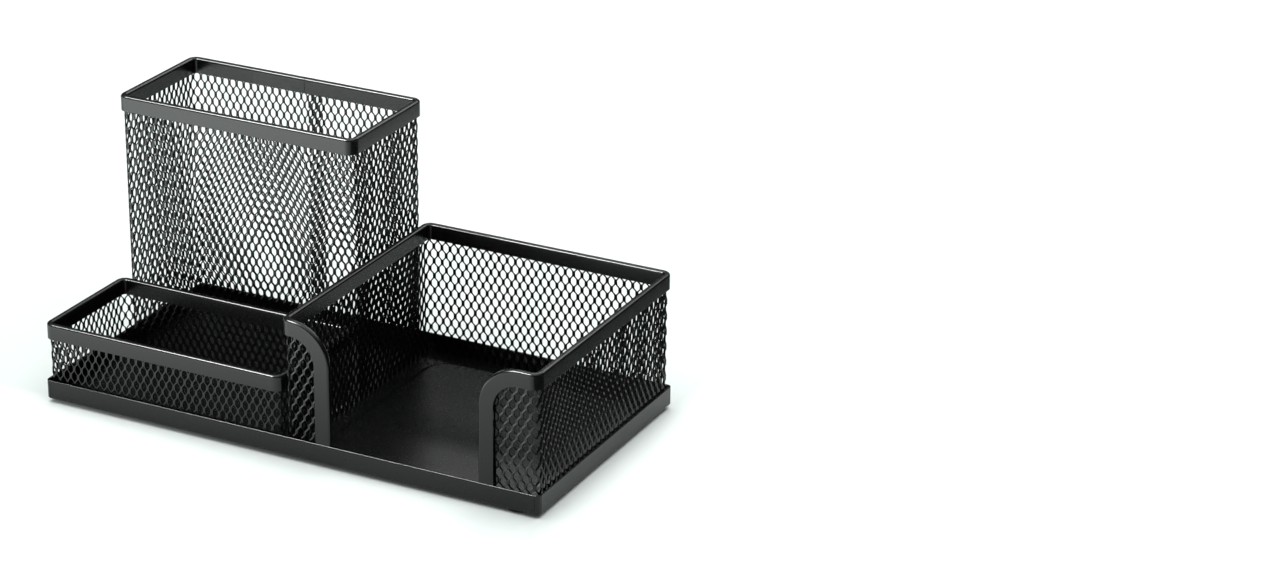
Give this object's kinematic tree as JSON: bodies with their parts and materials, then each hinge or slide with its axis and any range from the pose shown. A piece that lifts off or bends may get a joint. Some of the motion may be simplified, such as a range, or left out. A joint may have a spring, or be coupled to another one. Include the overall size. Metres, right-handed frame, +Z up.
{
  "type": "desk organizer",
  "caption": "Mesh desk organizer with a tall pen cup, a low clip tray and an open-fronted memo holder on a shallow steel base with rubber feet.",
  "frame": {"origin": "middle of the footprint, on the table plane under the rubber feet", "axes": "+X to the user's right (from the pen cup towards the memo holder), +Y to the back, +Z up; the open front of the memo holder faces -Y"},
  "size_m": [0.205, 0.104, 0.1028],
  "materials": {
    "base_coat": "satin black powder coat on sheet steel",
    "rim_coat": "satin black powder coat on folded steel strip",
    "mesh_coat": "satin black powder coat on expanded steel",
    "foot_rubber": "matte black rubber"
  },
  "bodies": {
    "root": {"base_tray": "base_coat", "pen_cup_mesh": "mesh_coat", "pen_cup_rim": "rim_coat", "clip_tray_mesh": "mesh_coat", "clip_tray_rim": "rim_coat", "memo_holder_mesh": "mesh_coat", "memo_holder_rim": "rim_coat", "foot_front_left": "foot_rubber", "foot_front_right": "foot_rubber", "foot_back_left": "foot_rubber", "foot_back_right": "foot_rubber"}
  },
  "joints": []
}
